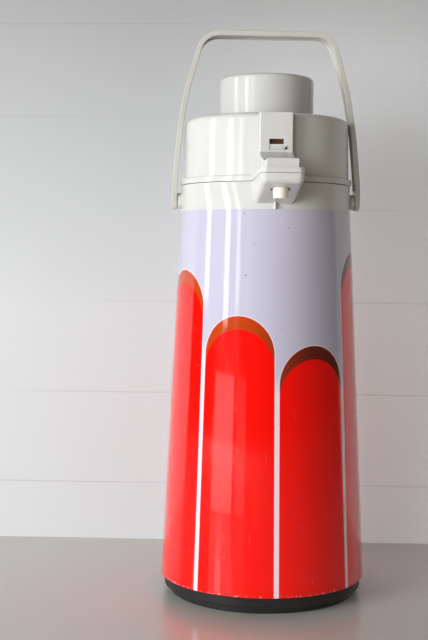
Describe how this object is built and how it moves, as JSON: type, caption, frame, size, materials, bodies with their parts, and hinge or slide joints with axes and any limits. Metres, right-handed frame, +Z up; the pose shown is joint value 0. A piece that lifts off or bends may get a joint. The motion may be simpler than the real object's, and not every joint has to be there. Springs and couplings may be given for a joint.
{
  "type": "vacuum pump airpot",
  "caption": "Pump-action vacuum airpot with a tapered painted shell, glass flask, hinged pump lid, spout beak and swinging bail handle.",
  "frame": {"origin": "on the axis of the pot, in the plane that it stands on", "axes": "+Z up along the axis; the spout points to -Y; +X to the right of someone who faces the spout"},
  "size_m": [0.1539, 0.189, 0.4216],
  "materials": {
    "painted_shell": "glossy enamel, pale lilac ground with red arched columns",
    "base_plastic": "moulded black plastic",
    "cream_plastic": "glossy moulded cream plastic",
    "ivory_plastic": "ivory plastic",
    "flask_glass": "silvered vacuum glass",
    "food_rubber": "soft food-grade rubber",
    "steel": "bright steel",
    "white_plastic": "natural white plastic"
  },
  "bodies": {
    "pot": {"outer_shell": "painted_shell", "base_ring": "base_plastic", "base_cap": "base_plastic", "flask_cushion": "food_rubber", "flask_outer": "flask_glass", "flask_inner": "flask_glass", "flask_gasket": "food_rubber", "tube_holder": "white_plastic", "dip_tube": "white_plastic", "shoulder_ring": "cream_plastic", "hinge_pin": "steel", "handle_pins": "steel", "handle_washers": "steel"},
    "handle": {"bail_handle": "cream_plastic"},
    "lid": {"lid_cover": "cream_plastic", "lid_base": "white_plastic", "lid_screws": "steel", "stopper": "white_plastic", "stopper_gasket": "food_rubber", "port_seal": "food_rubber", "spout_pipe": "ivory_plastic", "nozzle": "ivory_plastic", "bellows_seat": "white_plastic", "valve_flap": "food_rubber", "bellows": "food_rubber", "return_spring": "steel"},
    "button": {"button_cap": "cream_plastic", "push_plate": "white_plastic", "plate_screw": "steel"},
    "lock": {"lock_slider": "cream_plastic"}
  },
  "joints": [
    {"name": "handle_swing", "type": "hinge", "parent": "pot", "child": "handle", "pos_m": [0, 0, 0.2953], "axis": [1, 0, 0], "range_deg": [-138, 138]},
    {"name": "lid_hinge", "type": "hinge", "parent": "pot", "child": "lid", "pos_m": [0, 0.0677, 0.304], "axis": [-1, 0, 0], "range_deg": [0, 6]},
    {"name": "pump", "type": "slide", "parent": "lid", "child": "button", "axis": [0, 0, -1], "range_m": [0, 0.026], "stiffness_N_per_m": 150, "springref_m": -0.02, "deforming": ["bellows", "return_spring"]},
    {"name": "lock_slide", "type": "slide", "parent": "lid", "child": "lock", "axis": [0, 0, 1], "range_m": [0, 0.0034]}
  ]
}
